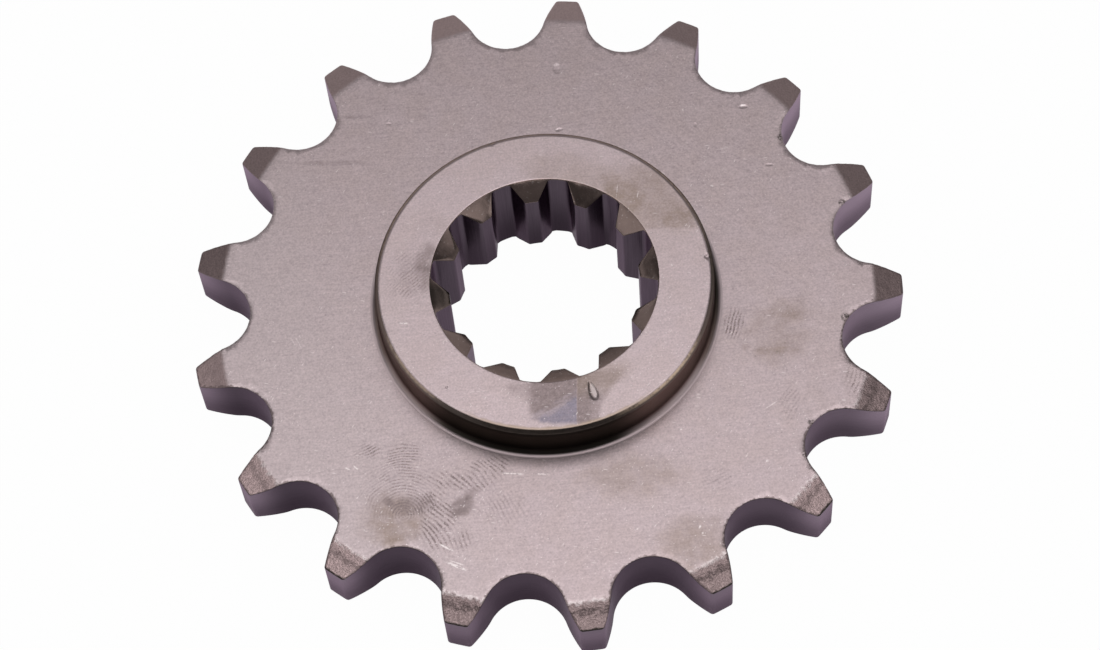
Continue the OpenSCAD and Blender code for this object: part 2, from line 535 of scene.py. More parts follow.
def rim_rings(skin, s):
    """The rim from the disc's front face to its rear face. Gives its first and last ring."""
    loop, out = rim_loop(s)
    ease = s.edge_break
    radius = np.hypot(loop[:, 0], loop[:, 1])
    ragged = grain(loop, 0.42, 5.3) * 0.6 + grain(loop, 0.2, 1.9) * 0.4
    lift = s.burr * ragged
    for burr in RIM_BURRS:
        near = np.hypot(loop[:, 0] - burr.x, loop[:, 1] - burr.y) / burr.size
        lift = lift + burr.height * np.clip(1 - near ** 2, 0, 1) * (0.6 + ragged)
    lift = np.where(radius > s.tip_r - 1.0, np.minimum(lift, 0.0) * 0.5, lift)
    inside = loop - out * ease
    front = disc_height(s, inside)
    rear = bevel_drop(s, inside)
    face = skin.ring(inside, front + np.clip(lift, 0, None) * 0.5)
    shoulder = skin.ring(loop - out * (ease * 0.3 - lift)[:, None], front - ease * 0.3)
    low = rear + ease
    high = front - ease
    walls = [skin.ring(loop, high + (low - high) * part) for part in (0.0, 0.3, 0.65, 1.0)]
    rear_shoulder = skin.ring(loop - out * ease * 0.3, rear + ease * 0.3)
    rear_face = skin.ring(inside, rear)
    skin.bands([face, shoulder], FACE)
    skin.bands([shoulder] + walls + [rear_shoulder], RIM)
    skin.bands([rear_shoulder, rear_face], FACE)
    return face, rear_face


def spots_between(inner, outer, step, margin):
    """Honeycomb points between two loops, clear of both."""
    grid = honeycomb(np.abs(outer).max() + step, step)
    radius = np.hypot(grid[:, 0], grid[:, 1])
    grid = grid[(radius < radius_at(outer, grid)) & (radius > radius_at(inner, grid))]
    return grid[distance_to(np.vstack([inner, outer]), grid) > margin]


def sprocket_skin(s):
    """The whole sprocket as one closed skin."""
    skin = Skin()
    bore_rear, bore_front = bore_rings(skin, s)
    hub_face, hub_foot = hub_rings(skin, s)
    rim_front, rim_rear = rim_rings(skin, s)

    loops = skin.flat(bore_front), skin.flat(hub_face)
    spots = spots_between(*loops, step=0.8, margin=0.3)
    extra = dent_spots(HUB_DENTS)
    extra = extra[distance_to(np.vstack(loops), extra) > 0.1]
    face_r = s.hub_d / 2 - s.hub_chamfer
    extra = extra[np.hypot(extra[:, 0], extra[:, 1]) < face_r - 0.1]
    spots = thinned(spots, extra, gap=0.16)
    skin.patch(bore_front, hub_face, spots, hub_height(s, spots), FACE)

    loops = skin.flat(hub_foot), skin.flat(rim_front)
    spots = spots_between(*loops, step=0.75, margin=0.3)
    fine = spots_between(*loops, step=0.26, margin=0.15)
    fine = fine[np.hypot(fine[:, 0], fine[:, 1]) > s.tip_r - s.bevel_w - 0.4]
    spots = thinned(spots, np.vstack([fine, dent_spots(DISC_DENTS)]), gap=0.16)
    skin.patch(hub_foot, rim_front, spots, disc_height(s, spots), FACE)

    loops = skin.flat(bore_rear), skin.flat(rim_rear)
    spots = spots_between(*loops, step=1.1, margin=0.4)
    skin.patch(bore_rear, rim_rear, spots, bevel_drop(s, spots), FACE, facing=-1)
    return skin


def piece_from(skin, name, finishes, s):
    """A mesh object from a skin, shaded smooth, that remembers how far each point is from the rim's edge."""
    mesh = bpy.data.meshes.new(name)
    points = np.array(skin.points)
    mesh.from_pydata(points * MM, [], skin.faces)
    if mesh.validate():
        raise RuntimeError("the skin has faces that Blender had to mend")
    for finish in finishes:
        mesh.materials.append(finish)
    mesh.polygons.foreach_set("material_index", skin.finishes)
    mesh.polygons.foreach_set("use_smooth", [True] * len(skin.faces))
    loop, _ = rim_loop(s)
    edge = mesh.attributes.new("rim_distance", "FLOAT", "POINT")
    edge.data.foreach_set("value", np.minimum(distance_to(loop, points[:, :2]), 4.0))
    mesh.update()
    piece = bpy.data.objects.new(name, mesh)
    bpy.context.scene.collection.objects.link(piece)
    weighted = piece.modifiers.new("even shading", "WEIGHTED_NORMAL")
    weighted.mode = "FACE_AREA"
    weighted.weight = 60
    return piece


# Finishes

def maths(operation, reflected=False):
    """An operator of Value, which adds a Math node. A reflected one has the value on its right."""

    def method(self, other):
        left, right = (other, self) if reflected else (self, other)
        return self.graph.add("ShaderNodeMath", {"operation": operation}, {0: left, 1: right})

    return method


class Value:
    """A value in a node tree. Arithmetic with it adds Math nodes."""

    def __init__(self, graph, socket):
        self.graph = graph
        self.socket = socket

    __add__ = maths("ADD")
    __radd__ = maths("ADD", reflected=True)
    __sub__ = maths("SUBTRACT")
    __rsub__ = maths("SUBTRACT", reflected=True)
    __mul__ = maths("MULTIPLY")
    __rmul__ = maths("MULTIPLY", reflected=True)
    __truediv__ = maths("DIVIDE")
    __rtruediv__ = maths("DIVIDE", reflected=True)
    __pow__ = maths("POWER")
    __rpow__ = maths("POWER", reflected=True)

    def __abs__(self):
        return self.graph.add("ShaderNodeMath", {"operation": "ABSOLUTE"}, {0: self})


class Graph:
    """A node tree, and the few ways in which nodes are put into it here."""

    MIX_FACTOR, MIX_A, MIX_B, MIX_RESULT = 0, 6, 7, 2

    def __init__(self, tree):
        self.tree = tree

    def add(self, kind, settings, sockets, out=0):
        """Adds a node, its settings first, then its sockets' values or links. Gives one of its outputs."""
        node = self.tree.nodes.new(kind)
        for name, value in settings.items():
            setattr(node, name, value)
        for name, value in sockets.items():
            self.feed(node.inputs[name], value)
        return Value(self, node.outputs[out])

    def feed(self, socket, value):
        if isinstance(value, Value):
            self.tree.links.new(value.socket, socket)
        elif socket.type == "RGBA":
            socket.default_value = (*value, 1.0)
        else:
            socket.default_value = value

    def blend(self, factor, a, b, kind="MIX"):
        return self.add(
            "ShaderNodeMix", {"data_type": "RGBA", "blend_type": kind},
            {self.MIX_FACTOR: factor, self.MIX_A: a, self.MIX_B: b}, self.MIX_RESULT)

    def rise(self, value, low, high, start=0.0, end=1.0):
        """Zero below low, one above high, smooth between."""
        sockets = {"Value": value, "From Min": low, "From Max": high, "To Min": start, "To Max": end}
        return self.add("ShaderNodeMapRange", {"interpolation_type": "SMOOTHSTEP"}, sockets)

    def fall(self, value, low, high):
        """One below low, zero above high, smooth between."""
        return self.rise(value, low, high, 1.0, 0.0)

    def sine(self, value):
        return self.add("ShaderNodeMath", {"operation": "SINE"}, {0: value})

    def most(self, a, b):
        return self.add("ShaderNodeMath", {"operation": "MAXIMUM"}, {0: a, 1: b})


class Finish(Graph):
    """One steel finish. Places are in millimetres, in the part's own frame."""

    def __init__(self, name):
        self.material = bpy.data.materials.new(name)
        self.material.use_nodes = True
        super().__init__(self.material.node_tree)
        self.shader = self.tree.nodes["Principled BSDF"]
        coordinates = self.add("ShaderNodeTexCoord", {}, {}, "Object")
        scaled = {0: coordinates, "Scale": 1 / MM}
        self.place = self.add("ShaderNodeVectorMath", {"operation": "SCALE"}, scaled)
        self.x = self.add("ShaderNodeSeparateXYZ", {}, {0: self.place}, "X")
        self.y = self.add("ShaderNodeSeparateXYZ", {}, {0: self.place}, "Y")
        self.z = self.add("ShaderNodeSeparateXYZ", {}, {0: self.place}, "Z")
        self.radius = (self.x * self.x + self.y * self.y) ** 0.5
        self.waver = (self.grain(1.8, 3.0) - 0.5) * 0.9

    def set(self, **sockets):
        """Feeds the shader's own sockets, named with _ for a space. All the steel is metal."""
        self.feed(self.shader.inputs["Metallic"], 1.0)
        for name, value in sockets.items():
            self.feed(self.shader.inputs[name.replace("_", " ")], value)
        return self.material

    def shaded(self, tint, amount):
        """A colour made lighter or darker by an amount about one."""
        grey = self.add("ShaderNodeCombineColor", {}, {0: amount, 1: amount, 2: amount})
        return self.blend(1.0, tint, grey, "MULTIPLY")

    def along(self, way):
        """How far a place lies from the axis along a way, in millimetres."""
        return self.x * way[0] + self.y * way[1]

    def towards(self, way):
        """How squarely a place lies towards a way from the axis, from -1 to 1."""
        return self.along(way) / self.radius

    def laid(self, stretch, turn):
        """Places stretched along axes of their own."""
        return self.add(
            "ShaderNodeMapping", {"vector_type": "TEXTURE"},
            {"Vector": self.place, "Rotation": (0.0, 0.0, math.radians(turn)), "Scale": stretch})

    def grain(self, size, detail=2.0, stretch=None, turn=0.0):
        """Noise from 0 to 1 with features of that size."""
        where = self.laid(stretch, turn) if stretch else self.place
        return self.add("ShaderNodeTexNoise", {}, {"Vector": where, "Scale": 1 / size, "Detail": detail})

    def flecks(self, size, filled, reach, stretch=(1.0, 1.0, 1.0), turn=0.0):
        """Scattered small flecks: one in the filled share of cells of that size."""
        settings = {"voronoi_dimensions": "2D"}
        sockets = {"Vector": self.laid(stretch, turn), "Scale": 1 / size}
        near = self.add("ShaderNodeTexVoronoi", settings, sockets, "Distance")
        pick = self.add("ShaderNodeTexVoronoi", settings, sockets, "Color")
        lot = self.add("ShaderNodeSeparateColor", {}, {0: pick}, "Red")
        strength = self.add("ShaderNodeSeparateColor", {}, {0: pick}, "Green")
        picked = self.rise(lot, 1 - filled, 1 - filled * 0.8)
        return picked * self.fall(near, reach * 0.4, reach) * (0.4 + 0.6 * strength)

    def local(self, x, y, turn):
        """Distances along and across a mark at a place."""
        cos = math.cos(math.radians(turn))
        sin = math.sin(math.radians(turn))
        along = self.x * cos + self.y * sin - (x * cos + y * sin)
        across = self.y * cos - self.x * sin - (y * cos - x * sin)
        return along, across

    def spot(self, mark, soft):
        """A soft oval patch with a wavering border, as strong as the mark in its middle."""
        along, across = self.local(mark.x, mark.y, mark.turn)
        along = along / mark.length
        across = across / mark.width
        out = along * along + across * across + self.waver
        return self.fall(out, (1 - soft) ** 2, 1.0) * mark.strength

    def spots(self, marks, soft):
        """Soft oval patches together."""
        total = self.spot(marks[0], soft)
        for mark in marks[1:]:
            total = total + self.spot(mark, soft)
        return total

    def scores(self, marks):
        """Thin straight scratches together, a little ragged."""
        ragged = self.rise(self.grain(0.25, 2.0), 0.34, 0.58)
        total = 0.0
        for mark in marks:
            along, across = self.local(mark.x, mark.y, mark.turn)
            line = self.fall(abs(across), mark.width * 0.4, mark.width)
            total = total + line * self.fall(abs(along), mark.length * 0.4, mark.length) * mark.strength
        return total * ragged

    def bump(self, height, distance):
        return self.add("ShaderNodeBump", {}, {"Height": height, "Distance": distance * MM}, "Normal")


# Marks of use on the faces, and marks of painted light and shade: place, half length and half width in
# millimetres, turn in degrees, strength

Mark = namedtuple("Mark", "x y length width turn strength")
Edge = namedtuple("Edge", "x y turn")
Ridges = namedtuple("Ridges", "x y spacing patches")

# Fingerprints on the disc: ridges run round a core, and show in patches
PRINTS = (
    Ridges(-28.0, -20.6, 0.40, (
        Mark(-27.3, -16.9, 5.4, 5.6, -24, 0.85),
        Mark(-26.5, -19.9, 3.6, 1.9, -15, 1.70),
        Mark(-29.0, -10.6, 2.3, 2.0, -24, 1.10),
        Mark(-24.8, -12.8, 3.0, 2.4, -24, 0.90),
    )),
    Ridges(-34.3, -26.5, 0.54, (
        Mark(-24.4, -23.0, 5.4, 3.0, -112, 1.60),
        Mark(-16.5, -19.4, 4.4, 2.4, 8, 1.60),
        Mark(-21.1, -18.4, 2.8, 1.5, -32, 1.60),
        Mark(-22.7, -26.7, 1.9, 1.5, 20, 1.30),
        Mark(-16.4, -24.5, 4.4, 3.0, -24, 0.55),
    )),
    Ridges(8.0, -4.0, 0.50, (
        Mark(20.3, -13.1, 2.8, 1.7, -112, 1.90),
        Mark(22.1, -26.5, 3.8, 1.7, -114, 0.60),
        Mark(31.0, -27.0, 2.9, 2.0, -112, 1.00),
        Mark(9.4, -31.8, 2.6, 1.9, -24, 0.55),
    )),
)

HUB_PRINTS = (
    Ridges(-5.3, -15.9, 0.40, (
        Mark(-15.2, 7.4, 5.2, 4.0, -112, 0.75),
    )),
)

OIL_STAINS = (
    Mark(24.6, -17.2, 5.4, 5.0, -24, 0.50),
    Mark(23.7, -18.9, 3.6, 0.8, -24, 0.40),
    Mark(27.7, -14.4, 3.8, 2.5, -24, 0.50),
    Mark(0.0, -27.0, 8.5, 4.0, -24, 0.55),
    Mark(3.4, -38.9, 6.0, 5.2, -24, 0.70),
    Mark(-29.2, -20.6, 5.2, 4.6, -24, 1.00),
    Mark(-30.4, -23.9, 2.4, 1.0, -24, 0.40),
    Mark(20.4, -16.8, 0.9, 0.7, 0, 0.70),
)

SMUDGES = (
    Mark(-20.9, -22.4, 2.2, 1.6, 10, 1.20),
    Mark(-19.1, -21.2, 1.5, 0.9, 10, 0.80),
    Mark(-26.5, -19.9, 3.2, 1.7, -15, 0.80),
    Mark(-29.0, -18.2, 1.1, 0.8, -60, 1.00),
    Mark(-17.8, 30.1, 6.5, 0.5, -24, 0.45),
    Mark(-12.4, 35.3, 2.4, 0.4, -24, 0.45),
)

DISC_SCRATCHES = (
    Mark(-24.7, -26.8, 1.25, 0.15, -52, 1.2),
    Mark(-24.5, -29.6, 1.65, 0.22, -49, 1.2),
    Mark(-24.3, -29.2, 1.20, 0.12, -45, 0.9),
    Mark(-32.0, -11.8, 0.45, 0.12, -52, 1.0),
    Mark(-31.0, -12.1, 0.55, 0.13, -67, 1.0),
    Mark(-13.4, -20.9, 1.70, 0.11, -27, 1.3),
    Mark(-10.2, -22.4, 1.30, 0.10, -26, 1.0),
    Mark(19.9, -25.5, 1.05, 0.10, 10, 0.8),
    Mark(29.7, 10.8, 0.95, 0.10, -11, 0.6),
    Mark(29.6, 10.3, 0.60, 0.08, -1, 0.5),
    Mark(30.5, 20.1, 0.30, 0.12, -35, 0.8),
    Mark(27.4, 18.3, 0.24, 0.17, -40, 0.9),
    Mark(34.8, 15.7, 0.45, 0.17, -20, 1.0),
    Mark(11.3, 22.5, 0.50, 0.09, -12, 0.5),
    Mark(14.9, 31.7, 0.48, 0.22, 0, 0.4),
    Mark(8.2, -23.9, 0.18, 0.18, 0, 1.3),
    Mark(-2.3, -34.1, 0.55, 0.13, 0, 1.0),
    Mark(4.9, -37.0, 0.28, 0.16, 30, 1.1),
    Mark(4.9, -37.9, 0.16, 0.16, 0, 0.9),
    Mark(16.2, -32.3, 0.22, 0.18, 10, 1.1),
    Mark(26.1, 6.3, 0.24, 0.16, -40, 0.9),
    Mark(27.1, 4.4, 0.18, 0.18, 0, 1.0),
    Mark(27.8, 28.3, 0.24, 0.16, 20, 0.9),
    Mark(-31.9, 7.6, 0.90, 0.08, -86, 0.5),
    Mark(-31.3, 7.2, 1.10, 0.08, -86, 0.5),
    Mark(-30.8, 7.8, 0.70, 0.08, -80, 0.5),
)

HUB_SCRATCHES = (
    Mark(-18.6, 1.5, 0.68, 0.15, -24, 1.2),
    Mark(15.7, 6.3, 0.60, 0.07, 55, 0.8),
    Mark(13.5, 7.9, 1.20, 0.07, 62, 0.7),
    Mark(13.6, 3.4, 0.55, 0.14, -60, 0.9),
    Mark(15.6, -4.8, 0.22, 0.18, 20, 1.0),
    Mark(-13.6, -11.2, 1.60, 0.06, -20, 0.5),
    Mark(-4.9, 18.0, 0.80, 0.07, 10, 0.6),
)

# Painted shadow: dark lines round the left and lower sides of the drop-shaped dent on the hub, and a painted
# highlight on its floor
DENT_SHADOW_LINES = (
    Mark(-0.92, -16.80, 1.70, 0.24, 80, 0.75),
    Mark(-0.62, -18.25, 0.80, 0.16, -20, 0.7),
    Mark(-0.08, -17.60, 0.80, 0.10, 78, 0.5),
)
DENT_FLOOR_HIGHLIGHT = Mark(-0.50, -17.00, 1.20, 0.34, 85, 0.35)

# Brown film on the hub's face, with a clean edge where something lay on it
FILM = (
    Mark(17.0, 4.6, 8.3, 8.3, -24, 0.74),
    Mark(13.6, 7.2, 4.6, 3.0, 115, 0.40),
    Mark(9.0, 12.2, 8.0, 4.0, 140, 0.50),
    Mark(19.3, 0.4, 3.2, 2.4, -24, 0.50),
)
BORE_FILM = Mark(2.2, -15.6, 4.0, 2.0, -10, 0.5)
FILM_EDGE = Edge(18.3, -0.4, -24.5)
HUB_SHADES = (
    Mark(-12.8, 7.7, 4.4, 2.0, -112, 0.75),
    Mark(-14.9, 7.2, 4.2, 3.0, -112, 0.22),
    Mark(-10.0, 13.1, 3.2, 2.4, -24, 0.12),
    Mark(-8.4, -13.3, 2.8, 1.5, -30, 0.50),
)

# Heat tint on the hub's face: its straight edge, how far it reaches left, and the slanting end of the brown
HEAT_EDGE = Edge(-3.1, -17.8, -23.2)
HEAT_REACH = 5.5
HEAT_END = Edge(1.7, -17.7, -54.4)

# Dark chip in the lead-in cone, and ridges whose cone is painted lighter or darker than the rest, as painted
# light and shade
CONE_CHIP = Mark(-13.0, 3.5, 2.8, 2.2, 0, 0.7)
CONE_SHADES = (
    Mark(3.4, 12.9, 3.4, 3.4, 0, 0.60),
    Mark(-9.4, 9.4, 3.2, 3.2, 0, -0.25),
    Mark(9.4, -9.4, 3.2, 3.2, 0, 0.35),
)

# Tip bevels painted lighter or darker than the rest, by the tooth's number from +X, and how far each reaches:
# painted light and shade, lightest on the far teeth
BEVEL_SHADES = {
    1: 0.28, 2: 0.22, 3: 0.65, 4: 0.58, 5: 0.37, 7: -0.18, 8: 0.38, 9: 0.46,
    10: 0.30, 11: -0.20, 12: -0.12, 13: -0.10, 14: 0.24, 15: -0.18, 16: -0.10,
}
BEVEL_SHADE_REACH = 6.0

# Turn of the brush marks on the faces, in degrees, and tints of the ground steel where it is dull or cool
BRUSH_TURN = -17.8
DULL = (0.965, 0.960, 0.945)
COOL = (0.975, 1.000, 0.990)

# Share of the floor's light that the camera sees, and that the steel mirrors
FLOOR_SEEN = 0.98
FLOOR_MIRRORED = 0.45

# Ways from the axis to the hub's front, and to the two stretches of its edge that get a painted reflection of
# the side panels
HUB_FRONT = (-0.469, -0.883)
REFLECTION_RIGHT = (0.39, -0.92)
REFLECTION_LEFT = (-0.974, -0.225)


def tooth_marks(s, shades, reach):
    """Round marks over the bevels of numbered teeth."""
    middle = s.tip_r - s.bevel_w / 2
    marks = []
    for tooth, strength in shades.items():
        turn = 2 * math.pi * tooth / s.teeth
        marks.append(Mark(middle * math.cos(turn), middle * math.sin(turn), reach, reach, 0, strength))
    return marks


def print_lines(finish, prints):
    """Dark broken lines of fingerprints."""
    wander = (finish.grain(4.5, 1.0) - 0.5) * 1.4
    patchy = 0.20 + 0.80 * finish.rise(finish.grain(1.3, 3.0), 0.32, 0.66)
    broken = finish.rise(finish.grain(0.20, 2.0), 0.32, 0.58)
    total = 0.0
    for ridges in prints:
        dx = finish.x - ridges.x
        dy = finish.y - ridges.y
        out = (dx * dx + dy * dy) ** 0.5 + wander
        lines = finish.rise(finish.sine(out * (2 * math.pi / ridges.spacing)), -0.7, 1.0)
        total = total + lines * finish.spots(ridges.patches, 0.85)
    return total * patchy * broken


def heat_stain(finish, look, tint):
    """Heat tint left of a straight edge, brown above and blue towards the rim, and paler brown past it."""
    wavy = finish.grain(1.3, 3.0) - 0.5
    right, up = finish.local(*HEAT_EDGE)
    past, _ = finish.local(*HEAT_END)
    clear = finish.fall(finish.radius + wavy * 0.9 - right * 0.16, 20.3, 21.1) * finish.fall(up, 4.0, 5.0)
    before = finish.fall(right + wavy * 0.25, -0.12, 0.12)
    left = before * finish.rise(right + wavy * 3.0, -HEAT_REACH - 1.4, -HEAT_REACH + 0.8)
    brown = finish.most(finish.fall(past + wavy * 0.8, -0.5, 0.4), finish.fall(right + wavy, 2.6, 3.3))
    after = (1 - before) * brown * (0.60 + 0.40 * finish.fall(right, 0.8, 3.0))
    uneven = 0.80 + 0.20 * finish.rise(finish.grain(0.6, 3.0), 0.3, 0.7)
    streaky = finish.grain(0.5, 2.0, (6.0, 1.0, 1.0), 10) - 0.5
    lean = up - right * 0.62 + wavy * 1.6 + streaky * 2.2
    hue = finish.blend(finish.rise(lean, 0.0, 2.6), look.heat, look.grease)
    gap = finish.rise(lean, 0.2, 1.1) * finish.fall(lean, 1.1, 2.2) * finish.fall(right, -2.0, -0.4)
    tint = finish.blend(left * clear * uneven * (1 - 0.35 * gap), tint, hue)
    warm = finish.blend(finish.rise(up, 0.0, 2.5), look.grease, finish.shaded(look.oil, 0.80))
    return finish.blend(after * clear * uneven, tint, warm)


def hub_marks(finish, look, tint):
    """The hub's face over a plain tint: brown film, shade beside the bore and heat tint."""
    speckle = finish.rise(finish.grain(1.2, 4.0), 0.25, 0.75)
    _, above = finish.local(*FILM_EDGE)
    film = finish.spots(FILM, 0.95) * (0.25 + 0.75 * finish.rise(above, -0.2, 0.4)) * (0.6 + 0.4 * speckle)
    tint = finish.blend(finish.most(film, finish.spot(BORE_FILM, 1.0)), tint, look.oil)
    tint = finish.blend(finish.spots(HUB_SHADES, 0.85) * (0.45 + 0.55 * speckle), tint, look.grease)
    tint = finish.blend(print_lines(finish, HUB_PRINTS), tint, look.grease)
    return heat_stain(finish, look, tint)


def disc_marks(finish, look, tint):
    """The disc's face over a plain tint: oil, smudges and fingerprints."""
    blotch = finish.rise(finish.grain(2.0, 4.0), 0.25, 0.70)
    tint = finish.blend(finish.spots(OIL_STAINS, 0.9) * (0.35 + 0.65 * blotch), tint, look.oil)
    tint = finish.blend(finish.spots(SMUDGES, 0.8) * (0.35 + 0.65 * blotch) * 0.85, tint, look.grease)
    return finish.blend(print_lines(finish, PRINTS), tint, look.grease)


def bevel_marks(finish, look, s, tint, worn, edge):
    """Rough tip bevels over a tint, painted lighter or darker tooth by tooth. Where worn: a bright crest that
    is partly a painted highlight, a painted shade band at the bevel's step, and painted shadow along the
    rim's edge. Gives colour, height and cover.
    """
    ragged = finish.grain(0.7, 3.0) - 0.5
    past = finish.radius - (s.tip_r - s.bevel_w) + ragged * (0.4 + 0.7 * worn)
    bevelled = finish.rise(past, -0.25, 0.45)
    grains = finish.rise(finish.grain(0.22, 2.0), 0.32, 0.68)
    streaks = finish.grain(0.20, 2.0, (1.0, 9.0, 1.0), BRUSH_TURN)
    # Painted shade in a band where the worn bevels step down.
    deep = past + ragged * 1.2
    band = finish.rise(deep, 0.9, 1.3) * finish.fall(deep, 1.4, 2.0)
    tone = 0.85 + (grains - 0.5) * (0.18 + 0.30 * worn) + 0.30 * streaks + worn * (0.40 - 0.52 * band)
    # Painted light and shade, tooth by tooth.
    tone = tone + finish.spots(tooth_marks(s, BEVEL_SHADES, BEVEL_SHADE_REACH), 0.4)
    tint = finish.blend(bevelled, tint, finish.shaded(look.bevel, tone))
    # The crest where the bevel starts is bare steel, and partly a painted highlight along the bend.
    crest = finish.rise(past, -0.25, 0.0) * finish.fall(past, 0.10, 0.60) * worn
    crest = crest * finish.rise(finish.grain(0.5, 3.0), 0.36, 0.62)
    tint = finish.blend(crest * 0.65, tint, look.scratch)
    patchy = finish.rise(finish.grain(2.2, 2.0), 0.42, 0.58)
    # Painted shadow along the rim's edge on the near side, ragged as if chipped, and darker still at the very
    # tips below the burr.
    chips_and_edge_shade = finish.fall(edge + (finish.grain(0.45, 3.0) - 0.5) * 0.9 - patchy * 0.16, 0.0, 0.20)
    chips_and_edge_shade = chips_and_edge_shade * finish.rise(finish.towards(NEAR_WORN_SIDE), -0.5, 0.3)
    tint = finish.blend(chips_and_edge_shade * 0.75, tint, finish.shaded(look.bevel, 0.50))
    lip_shadow = finish.rise(finish.radius + (finish.grain(0.8, 2.0) - 0.5) * 0.55, s.tip_r - 0.32, s.tip_r - 0.14)
    tint = finish.blend(lip_shadow * worn * worn * 0.95, tint, look.turned)
    height = bevelled * (grains * 0.7 + 0.4 * streaks) * (1.3 + 2.0 * worn)
    return tint, height, bevelled


def burr_marks(finish, look, tint):
    """Dark torn edges beside the rim's burrs over a tint."""
    torn = finish.rise(finish.grain(0.30, 3.0), 0.40, 0.56)
    marks = [Mark(b.x, b.y, b.size * 1.3, b.size * 1.3, 0, 0.8) for b in RIM_BURRS]
    beside = finish.spots(marks, 0.6)
    return finish.blend(beside * torn, tint, look.turned)


def ground_finish(look, s):
    """Satin ground steel, with rough bevels at the tips, the marks of use, and painted light and shade on the
    hub's face, round its dent and on the bevels.
    """
    finish = Finish("ground_steel")
    on_hub = finish.rise(finish.z, s.disc_h + 1.0, s.disc_h + 2.0)
    front = finish.rise(finish.z, s.disc_h / 2, s.disc_h / 2 + 0.5)
    near = finish.towards(NEAR_WORN_SIDE)
    cloud = finish.grain(4.0, 3.0)
    dull = [c * k for c, k in zip(look.ground, DULL)]
    cool = [c * k for c, k in zip(look.ground, COOL)]
    plain = finish.blend(finish.rise(cloud, 0.35, 0.65), look.ground, dull)
    plain = finish.blend(finish.fall(finish.x, -34.0, -14.0) * 0.8, plain, cool)
    marked = finish.blend(on_hub, disc_marks(finish, look, plain), hub_marks(finish, look, plain))
    tint = finish.blend(front, plain, marked)

    fine = finish.grain(0.25, 3.0)
    brushed = finish.grain(0.22, 2.0, (14.0, 1.0, 1.0), BRUSH_TURN)
    slanted = finish.grain(0.25, 2.0, (12.0, 1.0, 1.0), -62) - 0.5
    tone = 0.41 + 0.74 * fine + 0.14 * finish.grain(0.8, 2.0) + 0.26 * brushed + 0.08 * cloud
    # The hub's face is a little lighter, and painted light makes its far side lighter still.
    tone = tone + on_hub * (0.09 + 0.05 * finish.fall(near, -0.9, 0.0))
    tone = tone + 0.22 * slanted * finish.rise(finish.along((0.91, 0.41)), 5.0, 30.0)

    hub_r = s.hub_d / 2
    edge = finish.add("ShaderNodeAttribute", {"attribute_name": "rim_distance"}, {}, "Fac")
    hub_edge = finish.rise(finish.radius, hub_r - 2.2, hub_r - 0.6)
    bore_edge = finish.fall(finish.radius, s.lead_d / 2 + 0.2, s.lead_d / 2 + 1.2)
    crowd = finish.rise(finish.grain(7.0, 2.0), 0.40, 0.66) + finish.fall(edge, 0.3, 1.6) * 0.6
    crowd = crowd + (hub_edge + bore_edge) * on_hub * 0.7 + finish.rise(near, -0.2, 0.9) * 0.5
    bright = finish.flecks(0.58, 0.26, 0.17) * (0.30 + 0.70 * crowd)
    bright = bright + finish.flecks(0.9, 0.06, 0.16, (2.2, 0.55, 1.0), 35)
    bright = bright + finish.flecks(1.0, 0.06, 0.15, (2.6, 0.5, 1.0), -30)
    scores = finish.scores(DISC_SCRATCHES) * (1 - on_hub) + finish.scores(HUB_SCRATCHES) * on_hub
    bright = finish.most(finish.rise(bright, 0.0, 1.0) * 0.7, scores * front)
    # Painted highlight on the floor of the hub's drop-shaped dent; below, dark flecks and the painted shadow
    # round the dent.
    bright = finish.most(bright, finish.spot(DENT_FLOOR_HIGHLIGHT, 0.3) * on_hub)
    dark = finish.flecks(1.4, 0.08, 0.12) * 0.6 + finish.scores(DENT_SHADOW_LINES) * on_hub * 1.3
    tint = finish.blend(bright, finish.shaded(tint, tone - 0.35 * dark), look.scratch)
    rubbed = finish.rise(finish.radius + (finish.grain(1.0, 3.0) - 0.5) * 0.5, hub_r - 1.0, hub_r - 0.6)
    # Painted shade: a dark line along the far edge of the hub's face, where its chamfer turns away.
    far_edge_shade = finish.rise(finish.radius, hub_r - 0.85, hub_r - 0.65) * finish.fall(near, -0.6, 0.1)
    tint = finish.blend(far_edge_shade * on_hub * 0.75, tint, look.grease)
    bared = finish.shaded(look.bare_edge_and_reflection, 0.80)
    tint = finish.blend(rubbed * on_hub * finish.rise(near, 0.78, 0.94) * 0.8, tint, bared)

    worn = finish.rise(near, 0.05, 0.75)
    tint, height, bevelled = bevel_marks(finish, look, s, tint, worn, edge)
    tint = finish.blend(front, tint, burr_marks(finish, look, tint))
    return finish.set(
        Base_Color=tint,
        Roughness=look.satin - 0.05 + 0.10 * fine + 0.10 * bevelled,
        Normal=finish.bump(fine * 0.5 + brushed * 0.3 + height, 0.012))


def cut_finish(look, s):
    """Dark cut steel round the rim, lined along the cut, with painted shade: dark in the tooth gaps and low
    down, paler towards the tips and on the far right side.
    """
    finish = Finish("cut_rim_steel")
    lined = finish.grain(0.14, 2.0, (18.0, 18.0, 1.0))
    cloud = finish.grain(1.6, 3.0)
    # Painted shade: the rim's steel is darkest at the roots of the tooth gaps and paler towards the tips.
    out = finish.rise(finish.radius, s.tip_r - 5.5, s.tip_r)
    # Painted light: the rim is painted in the paler clean-side colour towards its far right side.
    drift = (finish.grain(14.0, 1.0) - 0.5) * 20.0
    side = finish.rise(finish.along((0.67, 0.74)) + drift, -30.0, 40.0)
    # Painted light: the tip walls are painted paler on all teeth but those squarely towards the near side.
    tips = finish.shaded(look.cut_tip, 1 + 0.25 * finish.fall(finish.towards(NEAR_WORN_SIDE), 0.82, 0.97))
    tint = finish.blend(side, finish.blend(out * out, look.cut_root, tips), look.cut_clean)
    # Painted shade: the rim's walls are darker low down.
    upper = finish.rise(finish.z, 1.5, 7.0)
    return finish.set(
        Base_Color=finish.shaded(tint, 0.42 + 0.80 * upper + 0.30 * lined + 0.26 * cloud),
        Specular_Tint=look.edge,
        Roughness=0.36 + 0.12 * cloud,
        Normal=finish.bump(lined, 0.015))


